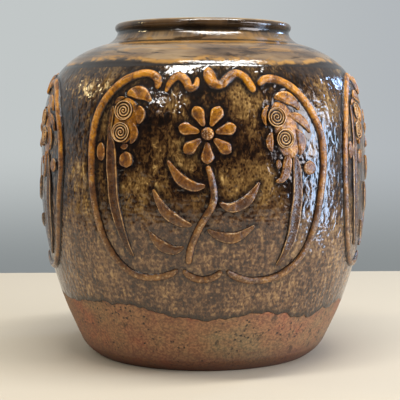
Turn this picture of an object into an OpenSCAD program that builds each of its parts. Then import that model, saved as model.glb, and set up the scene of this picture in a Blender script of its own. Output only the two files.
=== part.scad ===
// Martaban jar: a wide stoneware storage jar with four ornamented panels.
// The body is coiled and thrown clay, and the ornament is clay laid on it by hand.
// The origin is the middle of the flat that the jar stands on, and the front panel faces -Y.

/* [Body] */
// Widest diameter of the bare wall
belly_d = 336; // [310:1:370]
// Height from the floor to the top of the lip
jar_h = 338; // [320:1:380]
// Height of the widest point
belly_z = 178; // [160:1:190]
// Height where the glaze stops, above the bare foot
glaze_z = 60; // [40:1:80]
// Height where the wall starts to turn in over the belly
turn_in_z = 252; // [240:1:260]
// Diameter that the lower wall would have at the floor without its rounded heel
heel_d = 238; // [230:1:260]
// Diameter of the flat that the jar stands on
foot_d = 224; // [200:1:228]
// Height of the rounded heel
heel_round = 14; // [8:1:24]
// Fullness of the lower wall, where 1 is a straight cone
lower_fullness = 2.1; // [1.7:0.05:2.5]
// Fullness of the upper wall, where 2 is an ellipse
upper_fullness = 3.6; // [3:0.05:4.2]
// Thickness of the wall
wall_t = 9; // [6:0.5:11]
// Thickness of the floor slab
floor_t = 12; // [8:0.5:18]
// Clay cove inside, where the wall is luted to the floor
cove = 7; // [4:0.5:12]

/* [Shoulder and mouth] */
// Height of the smooth turned ring between the panels and the neck
shoulder_h = 27; // [20:1:36]
// Bore of the mouth
mouth_d = 158; // [140:1:160]
// Thickness of the neck where it is narrowest
neck_wall = 9.5; // [8:0.5:11]
// How far the neck flares out on its way down to the shoulder
neck_flare = 10.5; // [8:0.5:14]
// Height of the neck between the shoulder and the lip
neck_h = 12; // [8:0.5:20]
// How far the lip stands out over the neck
lip_overhang = 2.5; // [2.5:0.5:6]
// Height of the rolled lip
lip_h = 9.5; // [8:0.5:13]
// Width of the roll outside its crown
lip_roll = 5.5; // [5:0.25:6.5]
// Rounding of the lip towards the mouth
lip_round = 3; // [1.5:0.25:3.5]

/* [Panels] */
// Angle that the front and back panels take round the jar
broad_span = 80; // [74:0.5:81]
// Angle that the two side panels take round the jar
side_span = 74; // [68:0.5:76]
// Height of the lowest edge of the panels
panel_foot = 89; // [82:1:100]
// Bare wall between the top edge of the panels and the shoulder ring
panel_drop = 2.5; // [1.5:0.5:8]
// Gap left under clay that is laid on the wall
seat_gap = 0.2; // [0.1:0.05:0.25]
// Width of the frame ribbon
ribbon_w = 9.5; // [8:0.25:10]
// Height of the frame ribbon
ribbon_h = 4; // [3:0.25:5]
// Height of the scroll bands inside the frame
band_h = 3.5; // [2.5:0.25:4.5]
// Widest part of a scroll band
band_w = 12; // [9:0.25:12.5]
// Height of leaves, drops and petals at their thickest
leaf_h = 3.5; // [2.5:0.25:4.5]
// Width of a large leaf, which the other leaves and their places follow
leaf_w = 10; // [8:0.25:10.25]
// Width of the stem of the sprig
stem_w = 7.5; // [5:0.25:9]

/* [Buttons and flower] */
// Diameter of a stamped spiral button
button_d = 18.5; // [15:0.25:19.5]
// Height of a button's rim
button_h = 3.2; // [2.5:0.1:4]
// Depth of the sunk face inside the rim
button_sink = 1.4; // [0.8:0.1:1.8]
// Width of the rim and of the spiral ridge
ridge_w = 1.4; // [1:0.1:1.6]
// Turns of the spiral ridge
button_turns = 2; // [1.5:0.25:2.5]
// Space between the two buttons of a pair
button_space = 1.1; // [0.8:0.1:3]
// Petals of the flower in the middle of a panel
petal_count = 7; // [5:1:7]
// Distance from the middle of the flower to the tips of its petals
petal_reach = 27; // [22:0.5:29]
// Share of the ring of petals that is clay, where they are widest
petal_share = 0.69; // [0.5:0.01:0.72]
// Diameter of the seed head in the flower
seed_head_d = 12; // [9:0.5:13]

/* [Hidden] */
SIDES = ["front", "right", "back", "left"];
// Azimuth of the middle of each panel, from the front towards +X: they were spaced by eye
TURNS = [0, 89, 178, 267];
SPANS = [broad_span, side_span, broad_span, side_span];
BODY_PIECES = [
    "base_slab", "foot_wall", "lower_wall", "upper_wall", "shoulder_wall", "shoulder_ring", "neck_collar",
    "rolled_lip"
];
PANEL_PIECES = [
    "left_ribbon", "foot_ribbon", "right_ribbon", "crown_curl", "crown_wave", "left_band", "right_band",
    "spiral_buttons", "left_leaves", "right_leaves", "sprig_stem", "sprig_leaves", "sprig_flower"
];

AMBER = "#9a5f1e";
GLAZE = "#3b2a1c";
STONEWARE = "#8a5a41";

belly_r = belly_d / 2;
neck_d = mouth_d + 2 * neck_wall;
collar_d = neck_d + 2 * neck_flare;
lip_d = neck_d + 2 * lip_overhang;
lip_z = jar_h - lip_h;
collar_z = lip_z - neck_h;
shoulder_z = collar_z - shoulder_h;
// Facets of a full turn, and of the neck, the roll and the easing of the lip from end to end
round_steps = 180;
neck_steps = 6;
roll_steps = 9;
easing_steps = 4;

// Outside radius of the wall at a height: a power curve below the belly, a superellipse above it
upper_reach = (collar_z - belly_z)
    / pow(1 - pow(collar_d / belly_d, upper_fullness), 1 / upper_fullness);
function heel_cut(z) = z < heel_round ? (heel_d - foot_d) / 2 * pow(1 - z / heel_round, 2) : 0;
function lower_r(z) =
    belly_r - (belly_r - heel_d / 2) * pow((belly_z - z) / belly_z, lower_fullness) - heel_cut(z);
function upper_r(z) =
    belly_r * pow(1 - pow((z - belly_z) / upper_reach, upper_fullness), 1 / upper_fullness);
function curve_r(z) = z < belly_z ? lower_r(z) : upper_r(z);

// Heights at which the wall is drawn: more of them where it bends in towards the neck
function even(from, to, count) = [for (i = [0:count]) from + (to - from) * i / count];
crowd = 1.5;
function crowding(from, to, count) =
    [for (i = [0:count]) to - (to - from) * pow(1 - i / count, crowd)];
slab_rows = 5;
foot_rows = 6;
lower_rows = 14;
upper_rows = 8;
turn_in_rows = 7;
shoulder_rows = 9;
slab_heights = even(0, floor_t, slab_rows);
foot_heights = even(floor_t, glaze_z, foot_rows);
lower_heights = even(glaze_z, belly_z, lower_rows);
upper_heights = even(belly_z, turn_in_z, upper_rows);
turn_in_heights = crowding(turn_in_z, shoulder_z, turn_in_rows);
shoulder_heights = crowding(shoulder_z, collar_z, shoulder_rows);
all_heights = concat(
    slab_heights, foot_heights, lower_heights, upper_heights, turn_in_heights, shoulder_heights
);
wall_curve = [for (z = all_heights) [z, curve_r(z)]];
function wall_r(z) = lookup(z, wall_curve);

// Outward normal of the wall in its own profile plane, as [radial, upward]
slope_step = 0.05;
function slope(z) = (curve_r(z + slope_step) - curve_r(z - slope_step)) / (2 * slope_step);
function normal(z) = [1, -slope(z)] / norm([1, slope(z)]);
function outer_point(z) = [curve_r(z), z];
function inner_point(z) = outer_point(z) - wall_t * normal(z);
function outline(heights) = concat(
    [for (z = heights) outer_point(z)],
    [for (i = [len(heights) - 1:-1:0]) inner_point(heights[i])]
);

module turned(profile) {
    rotate_extrude($fn = round_steps) polygon(profile);
}

// Thick disc of clay under the jar, with the outside of the rounded heel
module base_slab() {
    color(STONEWARE) turned(concat([[0, 0]], [for (z = slab_heights) outer_point(z)], [[0, floor_t]]));
}

// Bare foot of the wall, luted to the slab with a cove of clay inside
module foot_wall() {
    inner = [for (i = [len(foot_heights) - 1:-1:1]) inner_point(foot_heights[i])];
    corner_r = inner_point(floor_t)[0];
    step = 30;
    cove_edge = [for (a = [0:step:90]) [corner_r - cove + cove * sin(a), floor_t + cove - cove * cos(a)]];
    above_cove = [for (p = inner) if (p[1] > floor_t + cove) p];
    color(STONEWARE) turned(concat(
        [for (z = foot_heights) outer_point(z)],
        above_cove,
        [for (i = [len(cove_edge) - 1:-1:0]) cove_edge[i]]
    ));
}

// Glazed wall up to the widest point
module lower_wall() {
    color(GLAZE) turned(outline(lower_heights));
}

// Glazed wall above the widest point
module upper_wall() {
    color(GLAZE) turned(outline(upper_heights));
}

// Glazed wall where it turns in over the belly
module shoulder_wall() {
    color(GLAZE) turned(outline(turn_in_heights));
}

// Smooth ring turned on the wheel above the paddled wall
module shoulder_ring() {
    color(GLAZE) turned(outline(shoulder_heights));
}

// Neck: it hollows from the shoulder up to the lip and holds the straight bore of the mouth
module neck_collar() {
    inner = inner_point(collar_z);
    throat_rise = 0.3;
    throat = [mouth_d / 2, inner[1] + throat_rise * (inner[0] - mouth_d / 2)];
    outside = [
        for (t = even(0, 1, neck_steps)) [neck_d / 2 + neck_flare * pow(1 - t, 2), collar_z + neck_h * t]
    ];
    color(GLAZE) turned(concat(outside, [[mouth_d / 2, lip_z], throat, inner]));
}

// Lip rolled outwards, round outside and eased towards the mouth
module rolled_lip() {
    crown_r = lip_d / 2 - lip_roll;
    start = -acos((neck_d / 2 - crown_r) / lip_roll);
    roll = [
        for (a = even(start, 90, roll_steps))
            [crown_r + lip_roll * cos(a), lip_z + lip_h / 2 * (1 + sin(a))]
    ];
    easing = [
        for (a = even(90, 180, easing_steps))
            [mouth_d / 2 + lip_round * (1 + cos(a)), jar_h - lip_round * (1 - sin(a))]
    ];
    color(GLAZE) turned(concat([[mouth_d / 2, lip_z], [neck_d / 2, lip_z]], roll, easing));
}

// The ornament is drawn on a flat sheet and then laid on the wall of each panel.
// On the sheet u runs to the right from the middle of the panel and v runs up, both in mm.
// Lines of the frame, drawn by hand as [u, v, share of the ribbon's width].
LEFT_RIBBON = [
    [-50.5, 80, 0.6], [-50, 87, 0.9], [-56, 92.5, 1], [-68, 94, 1], [-87, 87.5, 1], [-103, 73, 1],
    [-114, 51, 1], [-117.5, 20, 1], [-116, -13, 0.95], [-109, -45, 0.9], [-97, -71, 0.9], [-79, -87, 0.85],
    [-61, -91.5, 0.8], [-46, -90, 0.75], [-36, -87, 0.7], [-30.4, -83, 0.45]
];
FOOT_RIBBON = [
    [-25, -83, 0.45], [-21, -87.5, 0.7], [-14, -91, 0.8], [-6, -92.5, 0.8], [2, -91, 0.8],
    [8.5, -87.5, 0.7], [11.8, -83.5, 0.45]
];
RIGHT_RIBBON = [
    [17.2, -83.5, 0.45], [21, -87.5, 0.7], [30, -91.5, 0.8], [42, -94, 0.8], [60, -93.5, 0.85], [78, -87.5, 0.9],
    [96, -72, 0.9], [107.5, -48, 0.95], [114, -15, 1], [117.5, 12, 1], [114, 40, 1], [104, 60, 1],
    [88, 79, 1], [70, 88, 1], [56, 88.5, 0.9], [48.5, 83.5, 0.6]
];
CROWN_CURL = [
    [-41.5, 77, 0.35], [-38.5, 85, 0.7], [-31, 91.5, 1], [-23, 87.5, 1], [-18.5, 80.5, 0.9],
    [-12.8, 83, 0.65], [-11.5, 90, 0.45]
];
CROWN_WAVE = [
    [-1, 99, 0.6], [0, 92.5, 1.35], [3.5, 85.5, 1.2], [11, 83.5, 1], [18, 89, 1], [25.5, 93.5, 1],
    [33, 92, 1], [38.5, 86, 1], [43.5, 77, 0.8]
];
// The left ribbon reaches the side and the top of the sheet.
sheet_half_w = max([for (point = LEFT_RIBBON) -point[0]]);
sheet_half_h = max([for (point = LEFT_RIBBON) point[1]]);
panel_top = shoulder_z - panel_drop - ribbon_w / 2;
panel_bottom = panel_foot + ribbon_w / 2;
panel_mid = (panel_top + panel_bottom) / 2;
// Millimetres on the belly for one millimetre on the sheet. Trim shrinks with the sheet, but doesn't grow.
v_scale = (panel_top - panel_bottom) / (2 * sheet_half_h);
function u_scale(side) = belly_r * PI / 180 * SPANS[side] / 2 / sheet_half_w;
function size_scale(side) = min(1, u_scale(side), v_scale);
function azimuth(side, u) = u / sheet_half_w * SPANS[side] / 2;
function height(v) = panel_mid + v * v_scale;

// A point at a height over the wall, in the profile plane as [radius, z] and in space
function lifted(z, lift) = [wall_r(z), z] + lift * normal(z);
function in_space(turn, rz) = [rz[0] * sin(turn), -rz[0] * cos(turn), rz[1]];
function on_wall(side, u, v, lift) =
    in_space(TURNS[side] + azimuth(side, u), lifted(height(v), seat_gap + lift));

// Millimetres on the wall for one millimetre on the sheet, along u and along v
function u_stretch(side, v) = u_scale(side) * wall_r(height(v)) / belly_r;
function v_stretch(v) = v_scale * norm([1, slope(height(v))]);

// The wall turns in sharply near the crown of a panel, so lines take shorter steps above this v
knee_v = 50;
knee_share = 0.6;

// A smooth line through points [u, v, width], with about one step for each pitch
function between(a, b, c, d, t) =
    0.5 * (2 * b + (c - a) * t + (2 * a - 5 * b + 4 * c - d) * t * t + (3 * b - a - 3 * c + d) * t * t * t);
function flat_distance(a, b) = norm([b[0] - a[0], b[1] - a[1]]);
function smooth(points, pitch) = concat(
    [
        for (i = [0:len(points) - 2])
            let (
                a = points[max(i - 1, 0)],
                b = points[i],
                c = points[i + 1],
                d = points[min(i + 2, len(points) - 1)],
                local_pitch = max(b[1], c[1]) > knee_v ? pitch * knee_share : pitch,
                steps = max(1, round(flat_distance(b, c) / local_pitch))
            )
            for (k = [0:steps - 1]) between(a, b, c, d, k / steps)
    ],
    [points[len(points) - 1]]
);

// Sections of laid clay, from edge to edge: [place across the half width, share of the height].
// A bedded one has a point more under its middle, so that it follows a wall that bends sharply.
ROUND_SECTION = [[-1, 0], [-0.62, 0.78], [0, 1], [0.62, 0.78], [1, 0]];
BEDDED_SECTION = concat(ROUND_SECTION, [[0, 0]]);
GROOVED_SECTION = [[-1, 0], [-0.7, 1], [0, 0.45], [0.7, 1], [1, 0]];

// One strip of clay laid along a line, lower where it narrows
module strip(side, line, width, rise, section = ROUND_SECTION) {
    last = len(line) - 1;
    across = len(section);
    rings = [
        for (i = [0:last])
            let (
                p = line[i],
                ahead = line[min(i + 1, last)],
                behind = line[max(i - 1, 0)],
                gu = u_stretch(side, p[1]),
                gv = v_stretch(p[1]),
                along = [(ahead[0] - behind[0]) * gu, (ahead[1] - behind[1]) * gv],
                aside = [along[1], -along[0]] / norm(along),
                half = p[2] * width / 2,
                swell = rise * min(1, sqrt(p[2]))
            )
            [
                for (s = section)
                    let (off = s[0] * half * aside)
                        on_wall(side, p[0] + off[0] / gu, p[1] + off[1] / gv, s[1] * swell)
            ]
    ];
    points = [for (ring = rings) for (p = ring) p];
    skin = [
        for (i = [0:last - 1])
            for (j = [0:across - 1])
                let (
                    a = i * across + j,
                    b = i * across + (j + 1) % across,
                    c = a + across,
                    d = b + across
                )
                each [[a, c, b], [b, c, d]]
    ];
    start = [for (j = [1:across - 2]) [0, j, j + 1]];
    finish = [for (j = [1:across - 2]) [last * across, last * across + j + 1, last * across + j]];
    polyhedron(points = points, faces = concat(skin, start, finish));
}

// Longest step along a ribbon, and along lines that bend more
long_step = 9;
short_step = 6;

module ribbon(side, line, pitch) {
    color(AMBER) strip(side, smooth(line, pitch), ribbon_w, ribbon_h, BEDDED_SECTION);
}

// Left half of the frame, from its hook at the crown down to the first cusp of the foot
module left_ribbon(side) {
    ribbon(side, LEFT_RIBBON, long_step);
}

// Short hanging lobe between the two cusps
module foot_ribbon(side) {
    ribbon(side, FOOT_RIBBON, long_step);
}

// Right half of the frame, from the second cusp up to the dip beside the wave
module right_ribbon(side) {
    ribbon(side, RIGHT_RIBBON, long_step);
}

// Small curl that rises and falls between the hook and the wave
module crown_curl(side) {
    ribbon(side, CROWN_CURL, short_step);
}

// Wave that starts in a fat knob and runs down into the dip
module crown_wave(side) {
    ribbon(side, CROWN_WAVE, short_step);
}

// Middles of the spiral buttons on the sheet: an upper and a lower one at each side
button_r = button_d / 2;
left_upper = [-82, 60.5];
right_upper = [63.5, 54.5];
// How far a lower button stands to the side of the upper one
left_lean = -2;
right_lean = 8;
function below(side, place, lean) =
    place + [lean, -(button_d + button_space) * size_scale(side) / v_scale];
function left_lower(side) = below(side, left_upper, left_lean);
function right_lower(side) = below(side, right_upper, right_lean);

// Left scroll band: it starts beside the upper button, hugs the lower one and sweeps down inside the frame
module left_band(side) {
    clear_of_button = 1;
    thin_share = 0.4;
    thin_reach = (button_r + clear_of_button + thin_share * band_w / 2) * size_scale(side) / u_scale(side);
    thin_u = left_lower(side)[0] - thin_reach;
    thin_v = left_lower(side)[1];
    line = [
        [thin_u + 1.8, thin_v + 24, 0.15], [thin_u + 1.2, thin_v + 19.5, 0.35],
        [thin_u + 0.6, thin_v + 11, thin_share], [thin_u, thin_v + 1, thin_share],
        [thin_u + 0.7, thin_v - 5, 0.5], [thin_u + 1.8, thin_v - 10, 0.8],
        [-94, 20, 1.03], [-93.5, 6, 1.04], [-91.5, -20, 1], [-86.5, -41, 0.9], [-79, -63, 0.5],
        [-74, -72, 0.25]
    ];
    color(AMBER)
        strip(side, smooth(line, long_step), band_w * size_scale(side), band_h, GROOVED_SECTION);
}

// Right scroll band: it starts under the leaves and follows the frame down
module right_band(side) {
    top_drop = 15.5;
    line = [
        [82.4, right_lower(side)[1] - top_drop, 0.35], [83.1, 14, 0.6], [84.3, 6, 0.85], [85.5, -12, 1],
        [84, -33, 1.1], [80.5, -55, 1], [73.5, -72, 0.6], [67, -81, 0.3]
    ];
    color(AMBER)
        strip(side, smooth(line, long_step), band_w * size_scale(side), band_h, GROOVED_SECTION);
}

// Stamped button: a disc with a raised rim and a spiral ridge that ends in a pip
module button() {
    face_z = button_h - button_sink;
    inner_r = button_r - ridge_w;
    spiral_r = inner_r - ridge_w / 2;
    pip_r = ridge_w;
    step = 20;
    reach = spiral_r - pip_r;
    turn_total = 360 * button_turns;
    function spiral(angle, off) = (spiral_r - reach * angle / turn_total + off) * [cos(angle), sin(angle)];
    turned([
        [0, 0], [button_r, 0], [button_r, button_h - ridge_w / 2], [button_r - ridge_w / 2, button_h],
        [inner_r, button_h - ridge_w / 2], [inner_r - ridge_w / 2, face_z], [0, face_z]
    ]);
    translate([0, 0, face_z / 2])
        linear_extrude(button_h - face_z / 2)
            polygon(concat(
                [for (a = [0:step:turn_total]) spiral(a, -ridge_w / 2)],
                [for (a = [turn_total:-step:0]) spiral(a, 0)]
            ));
    cylinder(h = button_h, r = pip_r, $fn = round_steps);
}

// Something made flat, set on the wall square to it
module seated(side, place) {
    z = height(place[1]);
    turn = TURNS[side] + azimuth(side, place[0]);
    translate(in_space(turn, lifted(z, seat_gap)))
        rotate([acos(normal(z)[1]), 0, turn])
            children();
}

module spiral_buttons(side) {
    color(AMBER)
        for (place = [left_upper, left_lower(side), right_upper, right_lower(side)])
            seated(side, place) scale(size_scale(side)) button();
}

// A leaf that curls round a button, between two angles. Its width and its distance from the rim,
// near and far, are shares of the width of a large leaf.
leaf_steps = 6;
leaf_tip = 0.25;
leaf_plumpness = 0.7;
function plump(t) = max(leaf_tip, pow(sin(180 * t), leaf_plumpness));
function curled(side, middle, from, to, near, far) = [
    for (t = even(0, 1, leaf_steps))
        let (
            angle = from + (to - from) * t,
            reach = (button_r + (near + (far - near) * t) * leaf_w) * size_scale(side)
        )
        [middle[0] + reach / u_scale(side) * cos(angle), middle[1] + reach / v_scale * sin(angle), plump(t)]
];
module curled_leaf(side, middle, from, to, near, far, share) {
    width = share * leaf_w * size_scale(side);
    strip(side, curled(side, middle, from, to, near, far), width, leaf_h, BEDDED_SECTION);
}

// A leaf or drop along a short line of [u, v, share of its width]
module laid_leaf(side, line, share) {
    strip(side, smooth(line, short_step), share * leaf_w * size_scale(side), leaf_h);
}

// Cloud leaves and drops round the left pair of buttons
module left_leaves(side) {
    upper = left_upper;
    lower = left_lower(side);
    color(AMBER) {
        curled_leaf(side, upper, 16, -38, 0.6, 1, 1.1);
        curled_leaf(side, lower, 36, -46, 0.48, 0.48, 0.8);
        curled_leaf(side, upper, 84, 17, 0.5, 1.85, 1.35);
        curled_leaf(side, upper, 150, 96, 0.28, 0.28, 0.42);
        curled_leaf(side, lower, -56, -90, 0.42, 0.42, 0.6);
        laid_leaf(side, [[-106, 31.5, 0.3], [-106, 27.5, 0.9], [-106, 20, 1], [-105.5, 15, 0.35]], 1);
        laid_leaf(side, [[-79, 23.5, 0.45], [-78.5, 20, 0.9], [-78.5, 13, 1], [-78.5, 9, 0.35]], 1.45);
    }
}

// Cloud leaves and drops round the right pair of buttons
module right_leaves(side) {
    upper = right_upper;
    lower = right_lower(side);
    color(AMBER) {
        curled_leaf(side, upper, 122, 216, 0.34, 0.34, 0.52);
        curled_leaf(side, lower, 154, 222, 0.5, 0.8, 0.85);
        curled_leaf(side, upper, 90, 14, 0.8, 1.8, 1.3);
        curled_leaf(side, lower, 80, 10, 1.2, 2, 0.95);
        curled_leaf(side, lower, 34, -43, 0.55, 1.25, 1.15);
        laid_leaf(side, [[64, 16.5, 0.5], [64.5, 12, 1], [64, 8, 0.4]], 0.6);
        laid_leaf(side, [[74, 21, 0.5], [74, 14, 1], [72.5, 5, 1], [68, -1.5, 0.7], [62, -3.5, 0.25]], 1.05);
        laid_leaf(side, [[100, 15, 0.4], [99.5, 11, 0.9], [99, 6, 1], [98.5, 1.5, 0.4]], 1.55);
    }
}

// A flowering sprig stands in the middle of each panel: stem, five leaves and one open flower
flower_middle = [-2, 40];
// Clearance of the petals to the seed head and to the stem
petal_gap = 1.5;

module sprig_stem(side) {
    flower_reach = (petal_reach + petal_gap) * size_scale(side) / v_scale;
    line = [
        [-20, -78, 0.9], [-17, -62, 1], [-8, -42, 1], [3, -22, 1], [2, -2, 0.9],
        [flower_middle[0], flower_middle[1] - flower_reach, 0.7]
    ];
    color(AMBER) strip(side, smooth(line, long_step), stem_w * size_scale(side), leaf_h);
}

module sprig_leaves(side) {
    lines = [
        [[-24, -62, 0.3], [-34, -65, 0.9], [-46, -60, 1], [-57, -48, 0.25]],
        [[-16, -42, 0.3], [-27, -39, 0.9], [-41, -29, 1], [-52, -10, 0.25]],
        [[-2, -46, 0.3], [10, -52, 0.9], [25, -53, 1], [42, -43, 0.25]],
        [[9, -22, 0.3], [20, -26, 0.9], [34, -20, 1], [46, -4, 0.25]],
        [[-4, -6, 0.3], [-14, -7, 0.9], [-27, 0, 1], [-38, 16, 0.25]]
    ];
    share = 1.1;
    color(AMBER)
        for (line = lines)
            laid_leaf(side, line, share);
}

// Open flower: petals round a domed seed head.
// Each petal is a line of [distance from the middle, share of its width].
module sprig_flower(side) {
    petal_foot = seed_head_d / 2 + petal_gap;
    widest_place = 0.78;
    widest = widest_place * petal_reach;
    along = [[petal_foot, 0.3], [(petal_foot + widest) / 2, 0.65], [widest, 1], [petal_reach, 0.45]];
    petal_w = petal_share * 2 * PI * widest / petal_count;
    dome_step = 15;
    k = size_scale(side);
    color(AMBER) {
        for (i = [0:petal_count - 1]) {
            angle = 90 + 360 * (i + 0.5) / petal_count;
            away = k * [cos(angle) / u_scale(side), sin(angle) / v_scale];
            line = [for (p = along) concat(flower_middle + p[0] * away, [p[1]])];
            strip(side, smooth(line, short_step), petal_w * k, leaf_h);
        }
        seated(side, flower_middle)
            scale(k)
                turned([
                    [0, 0], [seed_head_d / 2, 0],
                    each [for (a = [dome_step:dome_step:90]) [seed_head_d / 2 * cos(a), leaf_h * sin(a)]]
                ]);
    }
}

base_slab();
foot_wall();
lower_wall();
upper_wall();
shoulder_wall();
shoulder_ring();
neck_collar();
rolled_lip();
for (side = [0:len(SIDES) - 1]) {
    name = str(SIDES[side], "_");
    left_ribbon(side);
    foot_ribbon(side);
    right_ribbon(side);
    crown_curl(side);
    crown_wave(side);
    left_band(side);
    right_band(side);
    spiral_buttons(side);
    left_leaves(side);
    right_leaves(side);
    sprig_stem(side);
    sprig_leaves(side);
    sprig_flower(side);
}
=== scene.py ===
# %% [markdown]
# # A martaban jar
# This lesson dresses a storage jar: a big coiled and thrown pot under a brown iron glaze, with four panels of
# clay ornament laid on its wall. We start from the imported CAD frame, which says where every piece sits, and
# replace each plain solid by a piece with soft clay edges, a maker's small errors and a real glaze.

# %% Load the frame
import math
import bpy
import bmesh
from mathutils import Matrix, Vector, kdtree, noise


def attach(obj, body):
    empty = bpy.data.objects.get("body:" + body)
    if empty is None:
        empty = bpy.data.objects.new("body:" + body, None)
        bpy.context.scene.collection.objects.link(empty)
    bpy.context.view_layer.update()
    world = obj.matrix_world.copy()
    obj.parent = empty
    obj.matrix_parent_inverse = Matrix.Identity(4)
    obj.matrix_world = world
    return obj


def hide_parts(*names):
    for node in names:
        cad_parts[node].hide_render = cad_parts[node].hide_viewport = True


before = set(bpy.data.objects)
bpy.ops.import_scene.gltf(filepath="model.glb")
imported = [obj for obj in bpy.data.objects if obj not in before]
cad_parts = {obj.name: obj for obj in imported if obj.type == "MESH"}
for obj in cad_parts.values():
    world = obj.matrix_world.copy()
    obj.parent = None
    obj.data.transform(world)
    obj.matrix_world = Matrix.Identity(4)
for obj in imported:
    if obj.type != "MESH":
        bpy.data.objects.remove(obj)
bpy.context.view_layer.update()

# %% [markdown]
# ## The wall's profile
# The wall is a solid of revolution, so one curve describes it: the radius at each height. Below the widest point
# it is a power curve, above it a superellipse, as in the CAD. We write it as functions instead of a table, because
# the ornament has to ride on the same curve. All lengths are in millimetres until a vertex is made.

# %% Profile of the wall
MM = 0.001
BELLY_R, BELLY_Z = 168.0, 178.0
HEEL_R, FOOT_R, HEEL_ROUND = 119.0, 112.0, 14.0
LOWER_FULLNESS, UPPER_FULLNESS = 2.1, 3.6
WALL_T, FLOOR_T, COVE = 9.0, 12.0, 7.0
GLAZE_Z, TURN_IN_Z, SHOULDER_Z, COLLAR_Z, LIP_Z, JAR_H = 60.0, 252.0, 289.5, 316.5, 328.5, 338.0
MOUTH_R, NECK_R, COLLAR_R, LIP_R = 79.0, 88.5, 99.0, 91.0
UPPER_REACH = (COLLAR_Z - BELLY_Z) / (1 - (COLLAR_R / BELLY_R) ** UPPER_FULLNESS) ** (1 / UPPER_FULLNESS)


def curve_r(z):
    """Radius of the wall at a height."""
    if z < BELLY_Z:
        cut = (HEEL_R - FOOT_R) * (1 - z / HEEL_ROUND) ** 2 if z < HEEL_ROUND else 0.0
        return BELLY_R - (BELLY_R - HEEL_R) * ((BELLY_Z - max(z, 0.0)) / BELLY_Z) ** LOWER_FULLNESS - cut
    return BELLY_R * (1 - ((z - BELLY_Z) / UPPER_REACH) ** UPPER_FULLNESS) ** (1 / UPPER_FULLNESS)


def wall_normal(z):
    """Outward direction of the wall in its own profile plane, as (out, up)."""
    slope = (curve_r(z + 0.05) - curve_r(z - 0.05)) / 0.1
    length = math.hypot(1, slope)
    return 1 / length, -slope / length


def inner_point(z):
    """The inside of the wall, square to the outside, as (radius, height)."""
    out, up = wall_normal(z)
    return curve_r(z) - WALL_T * out, z - WALL_T * up


print("radius at the foot, belly and shoulder", [round(curve_r(z), 1) for z in (0, BELLY_Z, SHOULDER_Z)])

# %% [markdown]
# ## The maker's hand
# A coiled pot is never quite round. Two slow waves of noise pull the wall in by up to a millimetre, and a finer one
# leaves the shallow dents of the paddle. They only ever take clay away, so the jar stays inside its CAD box. The
# ornament reads the same function, and so it stays seated on the uneven wall.

# %% Unevenness of the wall
def dented(turn, z):
    """How far the wall lies inside its true curve, in mm, at an angle and a height."""
    x, y = math.sin(turn), -math.cos(turn)
    slow = noise.noise(Vector((x * 1.3, y * 1.3, z / 90)))
    paddled = noise.noise(Vector((x * 11, y * 11, z / 21)))
    fade = min(1.0, max(0.0, (z - 4) / 30)) * min(1.0, max(0.0, (SHOULDER_Z - z) / 25))
    return 0.6 * (1 + slow) * fade + 0.22 * (1 + paddled) * fade


print("dents from", round(min(dented(a / 10, 150) for a in range(63)), 2), "mm")

# %% [markdown]
# ## From a flat sheet to the wall
# The ornament is drawn flat, as a potter would lay it out: u runs right and v runs up, in millimetres, round the
# middle of a panel. One function carries a point of the sheet to the wall and lifts it along the wall's normal.
# Each side of the jar has its own turn, because the panels were spaced by eye.

# %% Sheet to wall
SIDES = ["front", "right", "back", "left"]
TURNS = [0, 89, 178, 267]
SPANS = [80, 74, 80, 74]
SHEET_HALF_W, SHEET_HALF_H = 117.5, 94.0
RIBBON_W = 9.5
PANEL_TOP = SHOULDER_Z - 2.5 - RIBBON_W / 2
PANEL_BOTTOM = 89 + RIBBON_W / 2
PANEL_MID = (PANEL_TOP + PANEL_BOTTOM) / 2
V_SCALE = (PANEL_TOP - PANEL_BOTTOM) / (2 * SHEET_HALF_H)
U_SCALE = [BELLY_R * math.radians(span) / 2 / SHEET_HALF_W for span in SPANS]
TRIM_SCALE = [min(1, scale, V_SCALE) for scale in U_SCALE]


def on_wall(side, u, v, lift):
    """A point of a panel's sheet on the uneven wall, lifted off it by a height in mm."""
    z = PANEL_MID + v * V_SCALE
    turn = math.radians(TURNS[side] + u / SHEET_HALF_W * SPANS[side] / 2)
    out, up = wall_normal(z)
    radius = curve_r(z) - dented(turn, z) * out + lift * out
    return Vector((radius * math.sin(turn), -radius * math.cos(turn), z + lift * up)) * MM


def stretch(side, v):
    """Millimetres on the wall for one on the sheet, along u and along v."""
    z = PANEL_MID + v * V_SCALE
    out, up = wall_normal(z)
    return U_SCALE[side] * curve_r(z) / BELLY_R, V_SCALE / out


print("panel heights", round(PANEL_BOTTOM, 1), "to", round(PANEL_TOP, 1), "trim scale", TRIM_SCALE)

# %% [markdown]
# ## Nodes for the finishes
# Every finish is procedural, so we need short words for the nodes that come back again and again: a noise, a ramp,
# a mix of two colours and a bit of arithmetic. Each helper adds one node and links it, and returns its output.

# %% Node helpers
def linear(hex_code):
    """A colour written as on a paint card, as Blender's linear RGBA."""
    parts = [int(hex_code[i:i + 2], 16) / 255 for i in (1, 3, 5)]
    return [p / 12.92 if p <= 0.04045 else ((p + 0.055) / 1.055) ** 2.4 for p in parts] + [1.0]


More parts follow.
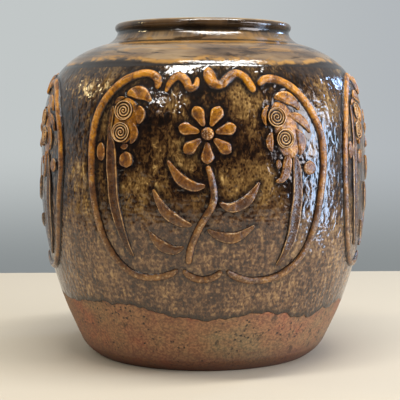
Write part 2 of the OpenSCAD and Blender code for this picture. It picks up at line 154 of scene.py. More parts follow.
class Finish:
    """A new material with its Principled shader, and words for the nodes that feed it."""

    def __init__(self, name):
        self.material = bpy.data.materials.new(name)
        self.material.use_nodes = True
        self.tree = self.material.node_tree
        self.shader = self.tree.nodes["Principled BSDF"]

    def node(self, kind, **settings):
        made = self.tree.nodes.new(kind)
        for key, value in settings.items():
            setattr(made, key, value)
        return made

    def feed(self, source, target):
        if isinstance(source, (int, float)):
            target.default_value = source
        elif isinstance(source, (list, tuple)):
            target.default_value = source
        else:
            self.tree.links.new(source, target)

    def place(self, stretch=(1, 1, 1), attribute=None):
        """Object coordinates or an attribute of the mesh, stretched."""
        if attribute:
            source = self.node("ShaderNodeAttribute", attribute_name=attribute).outputs["Vector"]
        else:
            source = self.node("ShaderNodeTexCoord").outputs["Object"]
        mapping = self.node("ShaderNodeMapping")
        mapping.inputs["Scale"].default_value = stretch
        self.feed(source, mapping.inputs["Vector"])
        return mapping.outputs["Vector"]

    def attribute(self, name):
        return self.node("ShaderNodeAttribute", attribute_name=name).outputs["Fac"]

    def noise(self, where, scale, detail=3.0, rough=0.5, distortion=0.0):
        made = self.node("ShaderNodeTexNoise")
        self.feed(where, made.inputs["Vector"])
        made.inputs["Scale"].default_value = scale
        made.inputs["Detail"].default_value = detail
        made.inputs["Roughness"].default_value = rough
        made.inputs["Distortion"].default_value = distortion
        return made.outputs["Fac"]

    def cells(self, where, scale, feature="F1", randomness=1.0):
        made = self.node("ShaderNodeTexVoronoi", feature=feature)
        self.feed(where, made.inputs["Vector"])
        made.inputs["Scale"].default_value = scale
        made.inputs["Randomness"].default_value = randomness
        return made.outputs["Distance"]

    def sum(self, operation, first, second=0.0, third=0.0):
        made = self.node("ShaderNodeMath", operation=operation)
        for value, socket in zip((first, second, third), made.inputs):
            self.feed(value, socket)
        return made.outputs[0]

    def fit(self, value, low, high, to_low=0.0, to_high=1.0, smooth=True):
        """Carry a value from one span to another, with soft ends."""
        made = self.node("ShaderNodeMapRange", interpolation_type="SMOOTHSTEP" if smooth else "LINEAR")
        for key, number in zip(("Value", "From Min", "From Max", "To Min", "To Max"),
                               (value, low, high, to_low, to_high)):
            self.feed(number, made.inputs[key])
        return made.outputs["Result"]

    def ramp(self, value, *stops):
        """A colour ramp from (place, paint) stops."""
        made = self.node("ShaderNodeValToRGB")
        self.feed(value, made.inputs["Fac"])
        steps = made.color_ramp.elements
        while len(steps) < len(stops):
            steps.new(0.5)
        for step, (at, paint) in zip(steps, stops):
            step.position = at
            step.color = linear(paint)
        return made.outputs["Color"]

    def mix(self, share, first, second):
        made = self.node("ShaderNodeMix", data_type="RGBA")
        self.feed(share, made.inputs["Factor"])
        self.feed(linear(first) if isinstance(first, str) else first, made.inputs[6])
        self.feed(linear(second) if isinstance(second, str) else second, made.inputs[7])
        return made.outputs[2]

    def finish(self, colour, roughness, height, depth, strength=1.0):
        """Wire colour, roughness and a bump of a depth in metres to the shader."""
        self.feed(colour, self.shader.inputs["Base Color"])
        self.feed(roughness, self.shader.inputs["Roughness"])
        bump = self.node("ShaderNodeBump")
        bump.inputs["Distance"].default_value = depth
        bump.inputs["Strength"].default_value = strength
        self.feed(height, bump.inputs["Height"])
        self.feed(bump.outputs["Normal"], self.shader.inputs["Normal"])
        return self.material


print("finish helpers ready")

# %% [markdown]
# ## Iron glaze on the paddled wall
# The glaze is thick and brown-black where it pools and breaks to amber where it runs thin over the paddle's marks.
# The marks are short and stand upright, so the noise is squeezed along the wall. It reads the clay attribute, a
# place rolled out along the wall's own curve, so that the marks also run inwards over the shoulder. A second
# attribute says how near the ornament is: there the wall is painted almost black, partly glaze that gathers
# against the ornament and partly painted shade of the relief. Low on the wall the glaze is paler and greyer,
# partly its own runs and partly a painted reflection of the pale table. Below a wavy line the glaze stops and
# the bare, iron-rich stoneware shows.

# %% Brown glaze and bare stoneware
GLAZE_IOR = 1.62


def bare_clay(f):
    """Colour, roughness and height of the unglazed stoneware, for any finish that shows it."""
    spot = f.place()
    fine = f.noise(spot, 420, 4, 0.65)
    broad = f.noise(spot, 22, 4, 0.62)
    body = f.ramp(broad, (0.34, "#9c4d2e"), (0.43, "#895639"), (0.54, "#84623f"), (0.66, "#756a49"))
    body = f.mix(f.fit(fine, 0.4, 0.62), f.mix(0.45, body, "#4a2c1e"), f.mix(0.5, body, "#b08358"))
    iron = f.fit(f.sum("ADD", f.cells(spot, 190), f.fit(fine, 0.3, 0.7, -0.1, 0.1)), 0.12, 0.3, 1.0, 0.0)
    some = f.fit(f.noise(spot, 40, 4, 0.6), 0.46, 0.56)
    body = f.mix(f.sum("MULTIPLY", iron, some), body, "#22150f")
    scar = f.fit(f.noise(f.place((1, 1, 0.6)), 120, 3, 0.6), 0.6, 0.67)
    scar = f.sum("MULTIPLY", scar, f.fit(f.noise(spot, 14, 2), 0.48, 0.6))
    body = f.mix(f.sum("MULTIPLY", scar, 0.8), body, "#3a2c1c")
    streaked = f.fit(f.noise(f.place((1, 1, 7)), 40, 3), 0.5, 0.75, 0.0, 0.4)
    body = f.mix(streaked, body, "#5c3524")
    low = f.fit(f.node_height, 0.002, 0.03, 0.75, 0.0)
    body = f.mix(low, body, "#4f2c20")
    pits = f.fit(f.cells(spot, 190), 0.0, 0.25)
    height = f.sum("ADD", f.sum("MULTIPLY", fine, 0.5), f.sum("MULTIPLY", pits, 0.35))
    return body, f.fit(fine, 0.2, 0.8, 0.55, 0.8), height


def add_height(f):
    """The height over the floor and the place across, in metres, for finishes that change on the way."""
    split = f.node("ShaderNodeSeparateXYZ")
    f.feed(f.node("ShaderNodeTexCoord").outputs["Object"], split.inputs["Vector"])
    f.node_height, f.node_across = split.outputs["Z"], split.outputs["X"]


def brown_glaze():
    f = Finish("brown_iron_glaze")
    add_height(f)
    along = f.place((1, 1, 0.55), "clay")
    marks = f.noise(along, 290, 3, 0.6, 1.0)
    coarse = f.noise(along, 120, 3, 0.55, 0.6)
    dimple = f.noise(f.place((1, 1, 0.7), "clay"), 130, 1.5, 0.45, 0.5)
    fine = f.noise(along, 700, 3)
    broad = f.noise(f.place((1, 1, 0.7), "clay"), 24, 3, 0.6)
    bubbles = f.cells(f.place((1, 1, 0.8), "clay"), 300)
    bend = f.sum("MULTIPLY", f.noise(f.place((1, 1, 1), "clay"), 60, 3), 14.0)
    rows = f.sum("SINE", f.sum("ADD", f.sum("MULTIPLY", f.node_height, 1450.0), bend))
    patch = f.fit(f.noise(f.place((1, 1, 0.8), "clay"), 27, 2), 0.47, 0.6)
    tone = f.sum("ADD", f.sum("MULTIPLY", marks, 0.6), f.sum("MULTIPLY", coarse, 0.4))
    spawn = f.sum("ADD", f.fit(bubbles, 0.1, 0.5, 0.44, 0.6), f.fit(fine, 0.3, 0.7, -0.05, 0.05))
    tone = f.fit(f.sum("MULTIPLY", patch, 0.7), 0.0, 1.0, tone, spawn, False)
    tone = f.sum("ADD", tone, f.sum("MULTIPLY", rows, 0.012))
    tone = f.sum("ADD", tone, f.fit(broad, 0.3, 0.7, -0.09, 0.06))
    tone = f.sum("ADD", tone, f.fit(f.node_height, 0.2, 0.28, -0.003, -0.012))
    glaze = f.ramp(tone, (0.36, "#120b09"), (0.45, "#2c1a0e"), (0.53, "#533a1f"), (0.61, "#806136"),
                   (0.7, "#c9a466"))
    grain = f.noise(f.place((1, 1, 0.75), "clay"), 330, 3, 0.6, 0.5)
    specks = f.sum("ADD", f.sum("MULTIPLY", grain, 0.7), f.sum("MULTIPLY", coarse, 0.3))
    specks = f.sum("ADD", specks, f.sum("MULTIPLY", rows, 0.018))
    specks = f.sum("ADD", specks, f.fit(broad, 0.3, 0.7, -0.035, 0.03))
    # paler, greyer glaze low on the wall: partly its own runs, partly a painted reflection of the pale table
    runs_and_table_sheen = f.ramp(specks, (0.38, "#32221a"), (0.47, "#543b2a"), (0.54, "#76573c"), (0.6, "#92714c"),
                   (0.67, "#b08d5e"))
    glaze = f.mix(f.fit(f.sum("ADD", f.node_height, f.fit(broad, 0.3, 0.7, -0.012, 0.012)), 0.13, 0.175, 0.9, 0.0),
                  glaze, runs_and_table_sheen)
    glaze = f.mix(f.fit(f.node_height, 0.274, 0.286, 0.0, 0.55), glaze, "#1a110b")
    # painted shade: near the ornament the wall turns almost black, partly gathered glaze and partly the relief's shade
    near = f.fit(f.attribute("relief"), 0.1, 0.5, 1.0, 0.0)
    near = f.sum("MULTIPLY", near, f.fit(f.node_height, 0.12, 0.2, 0.4, 0.85))
    glaze = f.mix(near, glaze, "#100c0f")
    body, bare_rough, bare_height = bare_clay(f)
    swing = f.noise(f.place((1, 1, 0)), 9, 2)
    scallop = f.noise(f.place((1, 1, 0.2)), 42, 2)
    edge = f.sum("ADD", f.fit(swing, 0.3, 0.7, 0.055, 0.067), f.fit(scallop, 0.3, 0.7, -0.003, 0.003))
    edge = f.sum("ADD", edge, f.sum("MULTIPLY", f.node_across, -0.06))
    above = f.sum("SUBTRACT", f.node_height, edge)
    covered = f.fit(above, -0.0006, 0.0006)
    thick = f.fit(above, 0.0005, 0.008, 0.85, 0.0)
    glaze = f.mix(thick, glaze, "#1b110c")
    colour = f.mix(covered, body, glaze)
    wet = f.fit(marks, 0.3, 0.75, 0.04, 0.13)
    rough = f.fit(covered, 0.0, 1.0, bare_rough, wet, False)
    skin = f.sum("ADD", f.sum("MULTIPLY", marks, 0.16), f.sum("MULTIPLY", dimple, 1.1))
    skin = f.sum("ADD", skin, f.sum("MULTIPLY", rows, 0.015))
    skin = f.sum("MULTIPLY", skin, f.fit(f.node_height, 0.278, 0.288, 1.0, 0.35))
    height = f.fit(covered, 0.0, 1.0, f.sum("MULTIPLY", bare_height, 0.45), f.sum("ADD", skin, 0.5), False)
    f.shader.inputs["IOR"].default_value = GLAZE_IOR
    return f.finish(colour, rough, height, 0.0013, 0.95)


BROWN = brown_glaze()
print("made", BROWN.name)

# %% [markdown]
# ## Glaze on the turned shoulder and lip
# The ring between the panels and the neck was turned on the wheel. It has no paddle marks: the same glaze lies on
# it in soft rings, smoother, and painted greyer and paler, partly as the sheen it takes from the room, with thin
# wavy threads of amber where it ran. Along the lip's crown a pale line is painted as its highlight, where the
# glaze also ran off while it was molten, and a dark band of painted shade lies under the roll of the lip.

# %% Turned glaze
def turned_glaze():
    f = Finish("turned_iron_glaze")
    add_height(f)
    rolled = f.place((1, 1, 3.5), "clay")
    rings = f.noise(rolled, 16, 3, 0.5, 0.6)
    # the turned ring's paler, greyer tones are partly a painted sheen of the room's light
    glaze = f.ramp(rings, (0.3, "#463524"), (0.45, "#66503a"), (0.6, "#80694d"), (0.75, "#98805f"))
    streak = f.noise(f.place((1, 1, 5.5), "clay"), 15, 4, 0.62, 0.8)
    glaze = f.mix(f.fit(streak, 0.34, 0.47, 0.9, 0.0), glaze, "#2c1d0f")
    glaze = f.mix(f.fit(streak, 0.55, 0.63, 0.0, 0.6), glaze, "#9c7236")
    run = f.noise(f.place((1, 1, 0.3)), 15, 4, 0.55)
    line = f.sum("SUBTRACT", f.node_height, f.fit(run, 0.3, 0.7, 0.2915, 0.2985))
    glaze = f.mix(f.fit(line, -0.0025, 0.001, 1.0, 0.0), glaze, "#1e130b")
    brushed = f.fit(f.noise(f.place((1, 1, 1.5), "clay"), 60, 3, 0.6), 0.4, 0.56)
    brushed = f.sum("MULTIPLY", brushed, f.fit(f.sum("ABSOLUTE", line), 0.0004, 0.0033, 0.8, 0.0))
    glaze = f.mix(brushed, glaze, "#ad7f3c")
    neck = f.fit(f.node_height, 0.3175, 0.3215, 0.0, 0.62)
    runs = f.noise(f.place((1, 1, 0.3), "clay"), 90, 3, 0.6)
    glaze = f.mix(neck, glaze, f.mix(f.fit(runs, 0.42, 0.6), "#261a12", "#6b4f2c"))
    flow = f.fit(f.sum("ABSOLUTE", f.sum("SUBTRACT", f.node_height, 0.3160)), 0.0003, 0.0016, 0.9, 0.0)
    glaze = f.mix(flow, glaze, "#150e0a")
    flow = f.fit(f.sum("ABSOLUTE", f.sum("SUBTRACT", f.node_height, 0.3138)), 0.0003, 0.0013, 0.7, 0.0)
    glaze = f.mix(flow, glaze, "#a87a3a")
    lip = f.fit(f.node_height, 0.3265, 0.3285, 0.0, 0.85)
    glaze = f.mix(lip, glaze, f.mix(f.fit(rings, 0.4, 0.6), "#23170e", "#4b3520"))
    # painted highlight: a pale line along the lip's crown, where its rounding catches the light
    crown = f.fit(f.node_height, 0.3358, 0.3379)
    crown = f.sum("MULTIPLY", crown, f.fit(f.noise(f.place(), 55, 3, 0.55), 0.3, 0.7, 0.35, 0.95))
    glaze = f.mix(crown, glaze, "#c2a273")
    # painted shade: a dark band under the roll of the lip
    under = f.fit(f.sum("ABSOLUTE", f.sum("SUBTRACT", f.node_height, 0.3278)), 0.001, 0.004, 0.9, 0.0)
    glaze = f.mix(under, glaze, "#120b08")
    fine = f.noise(f.place((1, 1, 1.6), "clay"), 260, 3, 0.6)
    wheel = f.sum("SINE", f.sum("ADD", f.sum("MULTIPLY", f.node_height, 1150.0), f.sum("MULTIPLY", rings, 3.0)))
    height = f.sum("ADD", f.sum("MULTIPLY", rings, 0.8), f.sum("MULTIPLY", fine, 0.2))
    height = f.sum("ADD", height, f.sum("MULTIPLY", wheel, 0.1))
    f.shader.inputs["IOR"].default_value = GLAZE_IOR
    return f.finish(glaze, f.fit(fine, 0.3, 0.7, 0.05, 0.17), height, 0.0009, 0.85)


TURNED = turned_glaze()
print("made", TURNED.name)

# %% [markdown]
# ## Amber glaze on the ornament
# Over raised clay the glaze runs thin, so ribbons and leaves are honey and orange, with a black line where it
# pooled at the foot. A pale line is painted along an edge, partly where the glaze broke thin over it and partly
# as the highlight the edge catches. The sides of a ribbon are painted darker, as shade across its rounded section,
# and the upper ornament is painted brighter, as if lit from above. The crest attribute, which each piece gets
# when it is shaped, says which is which: 0 in a hollow, a half on a flat top and 1 on an edge.

# %% Amber glaze
def amber_glaze():
    f = Finish("amber_glaze")
    add_height(f)
    spot = f.place()
    clouds = f.noise(spot, 95, 5, 0.68, 0.8)
    fine = f.noise(spot, 420, 3, 0.6)
    honey = f.ramp(clouds, (0.3, "#2e160a"), (0.41, "#66380f"), (0.51, "#985c15"), (0.61, "#c07d1c"),
                   (0.72, "#e4a93c"))
    honey = f.mix(f.fit(fine, 0.4, 0.75, 0.0, 0.6), honey, "#4a260e")
    crest = f.attribute("crest")
    ragged = f.sum("ADD", crest, f.fit(fine, 0.3, 0.7, -0.1, 0.1))
    pool = f.fit(ragged, 0.12, 0.47, 1.0, 0.0)
    pale = f.fit(ragged, 0.68, 0.86)
    low = f.fit(f.node_height, 0.14, 0.23, 0.8, 0.0)
    honey = f.mix(low, honey, f.mix(f.fit(clouds, 0.35, 0.65), "#4b3424", "#7e5b38"))
    # painted light: the upper ornament is painted brighter amber, as if lit from above
    lit = f.sum("MULTIPLY", f.fit(f.node_height, 0.2, 0.27), f.fit(clouds, 0.38, 0.62, 0.1, 0.6))
    honey = f.mix(lit, honey, "#d38c16")
    # painted shade: towards a ribbon's sides, where the crest drops, the amber is darkened across its rounded section
    honey = f.mix(f.fit(ragged, 0.36, 0.62, 0.72, 0.0), honey, "#47240b")
    colour = f.mix(pool, honey, "#150c08")
    # pale line on the edges: partly glaze broken thin, partly a painted highlight
    pale_edge_and_highlight = f.sum("MULTIPLY", pale, f.fit(clouds, 0.35, 0.6, 0.35, 0.95))
    colour = f.mix(pale_edge_and_highlight, colour, "#e4c08a")
    height = f.sum("ADD", clouds, f.sum("MULTIPLY", fine, 0.4))
    f.shader.inputs["IOR"].default_value = GLAZE_IOR
    return f.finish(colour, f.fit(fine, 0.3, 0.7, 0.04, 0.12), height, 0.0019, 0.9)


AMBER = amber_glaze()
print("made", AMBER.name)

# %% [markdown]
# ## Inside of the jar
# The inside only got a thin wash of the same glaze, so it is a dull brown with the clay showing through.

# %% Wash on the inside
def inner_wash():
    f = Finish("inner_wash")
    spot = f.place((1, 1, 2.5))
    broad = f.noise(spot, 22, 4, 0.6)
    fine = f.noise(spot, 300, 3)
    colour = f.ramp(broad, (0.3, "#2d1d14"), (0.5, "#4a3020"), (0.7, "#6a482f"))
    return f.finish(colour, f.fit(fine, 0.3, 0.7, 0.4, 0.6), f.sum("ADD", broad, fine), 0.0006, 0.7)


def bare_foot():
    f = Finish("bare_stoneware")
    add_height(f)
    colour, rough, height = bare_clay(f)
    return f.finish(colour, rough, height, 0.0006, 0.8)


WASH = inner_wash()
BARE = bare_foot()
print("made", WASH.name, "and", BARE.name)

# %% [markdown]
# ## Finishing a piece
# Each piece ends the same way: its mesh gets smooth shading with sharp breaks only at real corners, its materials,
# and a place on the jar's one rigid body, and the CAD node that it stands for is hidden.

# %% Finish a piece
def seat(name, bm, materials, node, sharp=50):
    mesh = bpy.data.meshes.new(name)
    bmesh.ops.remove_doubles(bm, verts=bm.verts, dist=0.000002)
    bmesh.ops.recalc_face_normals(bm, faces=bm.faces)
    bm.to_mesh(mesh)
    bm.free()
    for material in materials:
        mesh.materials.append(material)
    mesh.shade_smooth()
    mesh.set_sharp_from_angle(angle=math.radians(sharp))
    piece = bpy.data.objects.new(name, mesh)
    bpy.context.scene.collection.objects.link(piece)
    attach(piece, "root")
    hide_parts(node)
    return piece


print("ready to seat pieces")

# %% [markdown]
# ## Clay laid on by hand
# A ribbon or a leaf is a strip along a line: flat on top with rounded shoulders, and rounded at both ends. We take
# a plain grid, extrude it into a thin slab, and then carry each vertex to its place along the line, across it and
# over the wall. The columns crowd towards the edges, where the section turns fastest. Small noises in the width,
# the height and the line itself keep it from looking extruded.

# %% Lines and strips
def smooth_line(points, pitch=0.8):
    """A smooth walk through points of [u, v, share of the width], as close steps."""
    steps = []
    for i in range(len(points) - 1):
        a, b = points[max(i - 1, 0)], points[i]
        c, d = points[i + 1], points[min(i + 2, len(points) - 1)]
        count = max(2, round(math.hypot(c[0] - b[0], c[1] - b[1]) / pitch))
        for k in range(count):
            t = k / count
            steps.append([0.5 * (2 * q + (r - p) * t + (2 * p - 5 * q + 4 * r - s) * t * t
                                 + (3 * q - p - 3 * r + s) * t ** 3) for p, q, r, s in zip(a, b, c, d)])
    return steps + [list(points[-1])]


def along_line(side, points):
    """The walk with each step's distance along the wall, in mm."""
    walk, gone = smooth_line(points), [0.0]
    for a, b in zip(walk, walk[1:]):
        gu, gv = stretch(side, a[1])
        gone.append(gone[-1] + math.hypot((b[0] - a[0]) * gu, (b[1] - a[1]) * gv))
    return walk, gone


def step_at(walk, gone, distance):
    """The point of the walk at a distance, with the direction there."""
    low, high = 0, len(gone) - 1
    while high - low > 1:
        middle = (low + high) // 2
        low, high = (middle, high) if gone[middle] <= distance else (low, middle)
    t = (distance - gone[low]) / max(gone[high] - gone[low], 1e-9)
    here = [p + (q - p) * t for p, q in zip(walk[low], walk[high])]
    back, ahead = walk[max(low - 2, 0)], walk[min(high + 2, len(walk) - 1)]
    return here, (ahead[0] - back[0], ahead[1] - back[1])


def section(s, dish, soft):
    """Height of laid clay across it, from 0 in the middle to 1 at an edge: a soft foot and a dished top."""
    return max(0.0, math.cos(s * math.pi / 2)) ** soft * (1 - dish * (1 - s * s) ** 2)


EDGE_STEPS = [0, 15, 32, 50, 68, 90]
RIM_LINE = 0.78


def lay_strip(bm, side, points, width, rise, dish=0.1, pitch=1.3, columns=16, seed=0, soft=0.75):
    """Lay one strip of clay along a line of the sheet. Returns the points of its outline."""
    crest_layer = bm.verts.layers.float.get("crest") or bm.verts.layers.float.new("crest")
    walk, gone = along_line(side, points)
    total = gone[-1]
    ends = [max(0.6, walk[i][2] * width / 2) for i in (0, -1)]
    inner = max(total - sum(ends), 0.2)
    count = max(2, round(inner / pitch))
    rows = [ends[0] * (1 - math.cos(math.radians(a))) for a in EDGE_STEPS]
    rows += [ends[0] + inner * i / count for i in range(1, count)]
    rows += [total - ends[1] * (1 - math.cos(math.radians(a))) for a in reversed(EDGE_STEPS)]
    made = bmesh.ops.create_grid(bm, x_segments=len(rows) - 1, y_segments=columns, size=1)["verts"]
    faces = list({face for vert in made for face in vert.link_faces})
    places = {vert: (round((vert.co.x + 1) / 2 * (len(rows) - 1)), vert.co.y) for vert in made}
    pulled = bmesh.ops.extrude_face_region(bm, geom=faces)["geom"]
    under = {}
    for vert in [g for g in pulled if isinstance(g, bmesh.types.BMVert)]:
        under[vert] = (round((vert.co.x + 1) / 2 * (len(rows) - 1)), vert.co.y)
    outline = []
    for group, top in ((places, True), (under, False)):
        for vert, (row, y) in group.items():
            distance = rows[row]
            (u, v, share), (du, dv) = step_at(walk, gone, distance)
            gu, gv = stretch(side, v)
            tip = 1.0
            for near, reach in ((distance, ends[0]), (total - distance, ends[1])):
                if near < reach:
                    tip = min(tip, math.sqrt(max(0.0, 1 - (1 - near / reach) ** 2)))
            wave = noise.noise(Vector((distance / 13, seed * 3.7, side * 5.1)))
            drift = noise.noise(Vector((distance / 21, seed * 2.9 + 40, side * 3.3)))
            half = max(share, 0.05) * width / 2 * (1 + 0.07 * wave) * tip
            s = math.sin(y * math.pi / 2)
            length = math.hypot(du * gu, dv * gv) or 1.0
            across = (dv * gv / length, -du * gu / length)
            shift = s * half + 0.35 * drift
            swell = rise * min(1, math.sqrt(share)) * (0.93 + 0.07 * wave)
            lift = section(s, dish * min(1, share) ** 2, soft) * swell * tip ** 0.45 if top else -0.7
            vert.co = on_wall(side, u + shift * across[0] / gu, v + shift * across[1] / gv, lift)
            rim = max(abs(s), 1 - tip * 0.98)
            if top:
                edge = max(0.0, 1 - abs(rim - RIM_LINE) / 0.16)
                fall = max(0.0, (rim - RIM_LINE) / (1 - RIM_LINE))
                # for ribbons the crest falls from the middle to the sides, which the amber glaze paints as shade
                # across the section
                lit = 0.68 - 0.35 * rim ** 3 if dish < 0.2 else 0.5 + 0.5 * edge
                if dish > 0.45:
                    lit = 0.34 + 0.66 * edge
                vert[crest_layer] = lit * (1 - fall)
                if abs(s) > 0.99:
                    outline.append(vert.co.copy())
    return outline


print("a ribbon's section", [round(section(s / 4, 0.1, 0.75), 2) for s in range(5)])

# %% [markdown]
# ## Frame ribbons
# Three ribbons frame a panel and meet in two cusps under it; a curl and a wave with a fat knob close the frame at
# the crown. The lines are the ones of the CAD, drawn on the sheet, with the share of the full width at each
# point.

# %% Ribbons of the frame
LEFT_RIBBON = [
    [-50.5, 80, 0.6], [-50, 87, 0.9], [-56, 92.5, 1], [-68, 94, 1], [-87, 87.5, 1], [-103, 73, 1],
    [-114, 51, 1], [-117.5, 20, 1], [-116, -13, 0.95], [-109, -45, 0.9], [-97, -71, 0.9], [-79, -87, 0.85],
    [-61, -91.5, 0.8], [-46, -90, 0.75], [-36, -87, 0.7], [-30.4, -83, 0.45]]
FOOT_RIBBON = [
    [-25, -83, 0.45], [-21, -87.5, 0.7], [-14, -91, 0.8], [-6, -92.5, 0.8], [2, -91, 0.8],
    [8.5, -87.5, 0.7], [11.8, -83.5, 0.45]]
RIGHT_RIBBON = [
    [17.2, -83.5, 0.45], [21, -87.5, 0.7], [30, -91.5, 0.8], [42, -94, 0.8], [60, -93.5, 0.85], [78, -87.5, 0.9],
    [96, -72, 0.9], [107.5, -48, 0.95], [114, -15, 1], [117.5, 12, 1], [114, 40, 1], [104, 60, 1],
    [88, 79, 1], [70, 88, 1], [56, 88.5, 0.9], [48.5, 83.5, 0.6]]
CROWN_CURL = [
    [-41.5, 77, 0.35], [-38.5, 85, 0.7], [-31, 91.5, 1], [-23, 87.5, 1], [-18.5, 80.5, 0.9], [-12.8, 83, 0.65],
    [-11.5, 90, 0.45]]
CROWN_WAVE = [
    [-1, 99, 0.6], [0, 92.5, 1.35], [3.5, 85.5, 1.2], [11, 83.5, 1], [18, 89, 1], [25.5, 93.5, 1], [33, 92, 1],
    [38.5, 86, 1], [43.5, 77, 0.8]]
RIBBON_H = 3.9
FRAME = {"left_ribbon": LEFT_RIBBON, "foot_ribbon": FOOT_RIBBON, "right_ribbon": RIGHT_RIBBON,
         "crown_curl": CROWN_CURL, "crown_wave": CROWN_WAVE}
outlines = []

for side, side_name in enumerate(SIDES):
    for seed, (piece_name, line) in enumerate(FRAME.items()):
        bm = bmesh.new()
        outlines += lay_strip(bm, side, line, RIBBON_W, RIBBON_H, 0.12, seed=seed)
        seat(f"clay_{side_name}_{piece_name}", bm, [AMBER], f"{side_name}_{piece_name}")
print("frame pieces", len(SIDES) * len(FRAME), "outline points", len(outlines))

# %% [markdown]
# ## Spiral buttons
# A button is a disc stamped with a coil: a raised rim, a sunk face and a ridge that winds in to a pip. We spin a
# radial line of vertices into a disc, and then raise each vertex by a spiral wave, so that the ridge is one line
# that really winds. The hollow between the turns gets a low crest value, so glaze pools there.

# %% Spiral buttons
BUTTON_R, BUTTON_H, BUTTON_SPACE, SPIRAL_TURNS = 9.25, 3.2, 1.1, 3.0
LEFT_UPPER, RIGHT_UPPER = (-82, 60.5), (63.5, 54.5)


def below(side, place, lean):
    return place[0] + lean, place[1] - (2 * BUTTON_R + BUTTON_SPACE) * TRIM_SCALE[side] / V_SCALE


def wall_frame(side, place):
    """Axes on the wall at a point of the sheet: right, up and out."""
    middle = on_wall(side, *place, 0)
    right = (on_wall(side, place[0] + 1, place[1], 0) - middle).normalized()
    up = (on_wall(side, place[0], place[1] + 1, 0) - middle).normalized()
    out = right.cross(up).normalized()
    return Matrix((right, out.cross(right), out)).transposed().to_4x4(), middle


def place_disc(side, place, radius, relief, steps=84, rings=26):
    """One disc in a mesh of its own, shaped and carried to the wall."""
    disc = bmesh.new()
    crest_layer = disc.verts.layers.float.new("crest")
    line = [disc.verts.new((radius * i / rings, 0, 1)) for i in range(rings + 1)]
    line += [disc.verts.new((radius * 1.03, 0, 0)), disc.verts.new((0, 0, 0))]
    edges = [disc.edges.new(pair) for pair in zip(line, line[1:])]
    bmesh.ops.spin(disc, geom=line + edges, axis=(0, 0, 1), cent=(0, 0, 0), dvec=(0, 0, 0),
                   angle=2 * math.pi, steps=steps, use_merge=True)
    bmesh.ops.remove_doubles(disc, verts=disc.verts, dist=0.0001)
    for vert in disc.verts:
        share = math.hypot(vert.co.x, vert.co.y) / radius
        if vert.co.z > 0.5:
            vert.co.z, vert[crest_layer] = relief(share, math.atan2(vert.co.y, vert.co.x))
        else:
            vert.co.z, vert[crest_layer] = -1.0, 0.0
    frame_at, middle = wall_frame(side, place)
    bmesh.ops.transform(disc, matrix=Matrix.Translation(middle) @ frame_at @ Matrix.Scale(MM * TRIM_SCALE[side], 4),
                        verts=disc.verts)
    return disc


def spiral_face(turn_by):
    """The relief of a stamped button, with its coil turned by an angle."""
    def relief(share, angle):
        if share > 0.86:
            rim = math.sin(min(1.0, (share - 0.86) / 0.14) * math.pi)
            return BUTTON_H - 0.9 + 0.9 * max(rim, 0.0) ** 0.6, 0.15 + 0.85 * max(rim, 0.0)
        phase = share / 0.86 * SPIRAL_TURNS - (angle + turn_by) / (2 * math.pi)
        ridge = 0.5 + 0.5 * math.cos(2 * math.pi * phase)
        bowl = BUTTON_H - 2.0 + 0.7 * (1 - share) ** 2
        return bowl + 1.3 * ridge ** 1.3, 0.02 + 0.96 * ridge ** 1.2
    return relief


def merge_into(bm, other):
    """Add a finished mesh to another, with its crest values."""
    mesh = bpy.data.meshes.new("passing")
    other.to_mesh(mesh)
    other.free()
    bm.from_mesh(mesh)
    bpy.data.meshes.remove(mesh)


for side, side_name in enumerate(SIDES):
    bm = bmesh.new()
    bm.verts.layers.float.new("crest")
    places = [LEFT_UPPER, below(side, LEFT_UPPER, -2), RIGHT_UPPER, below(side, RIGHT_UPPER, 8)]
    for number, place in enumerate(places):
        merge_into(bm, place_disc(side, place, BUTTON_R, spiral_face(number * 1.9 + side)))
        outlines += [on_wall(side, place[0] + BUTTON_R * math.cos(a / 3) / U_SCALE[side] * TRIM_SCALE[side],
                             place[1] + BUTTON_R * math.sin(a / 3) * TRIM_SCALE[side], 0) for a in range(19)]
    seat(f"clay_{side_name}_spiral_buttons", bm, [AMBER], f"{side_name}_spiral_buttons")
print("buttons", 4 * len(SIDES))

# %% [markdown]
# ## Bands, cloud leaves and drops
# Inside the frame a grooved band runs down each side, and cloud leaves and drops crowd round the buttons. They are
# strips again. The leaves are dished, as if pressed with a thumb, so that their rim catches the light.

# %% Bands and leaves
LEAF_W, LEAF_H, BAND_W, BAND_H = 10.0, 3.5, 12.0, 3.4


def curled(side, middle, start, stop, near, far):
    """A leaf's line round a button, between two angles, at a distance from its rim."""
    line = []
    for i in range(9):
        t = i / 8
        angle = math.radians(start + (stop - start) * t)
        reach = (BUTTON_R + (near + (far - near) * t) * LEAF_W) * TRIM_SCALE[side]
        plump = max(0.25, max(0.0, math.sin(math.pi * t)) ** 0.7)
        line.append([middle[0] + reach / U_SCALE[side] * math.cos(angle),
                     middle[1] + reach / V_SCALE * math.sin(angle), plump])
    return line


def left_leaves(side):
    upper, lower = LEFT_UPPER, below(side, LEFT_UPPER, -2)
    return [(curled(side, upper, 16, -38, 0.6, 1), 1.1), (curled(side, lower, 36, -46, 0.48, 0.48), 0.8),
            (curled(side, upper, 84, 17, 0.5, 1.85), 1.35), (curled(side, upper, 150, 96, 0.28, 0.28), 0.42),
            (curled(side, lower, -56, -90, 0.42, 0.42), 0.6),
            ([[-106, 31.5, 0.3], [-106, 27.5, 0.9], [-106, 20, 1], [-105.5, 15, 0.35]], 1),
            ([[-79, 23.5, 0.45], [-78.5, 20, 0.9], [-78.5, 13, 1], [-78.5, 9, 0.35]], 1.45)]


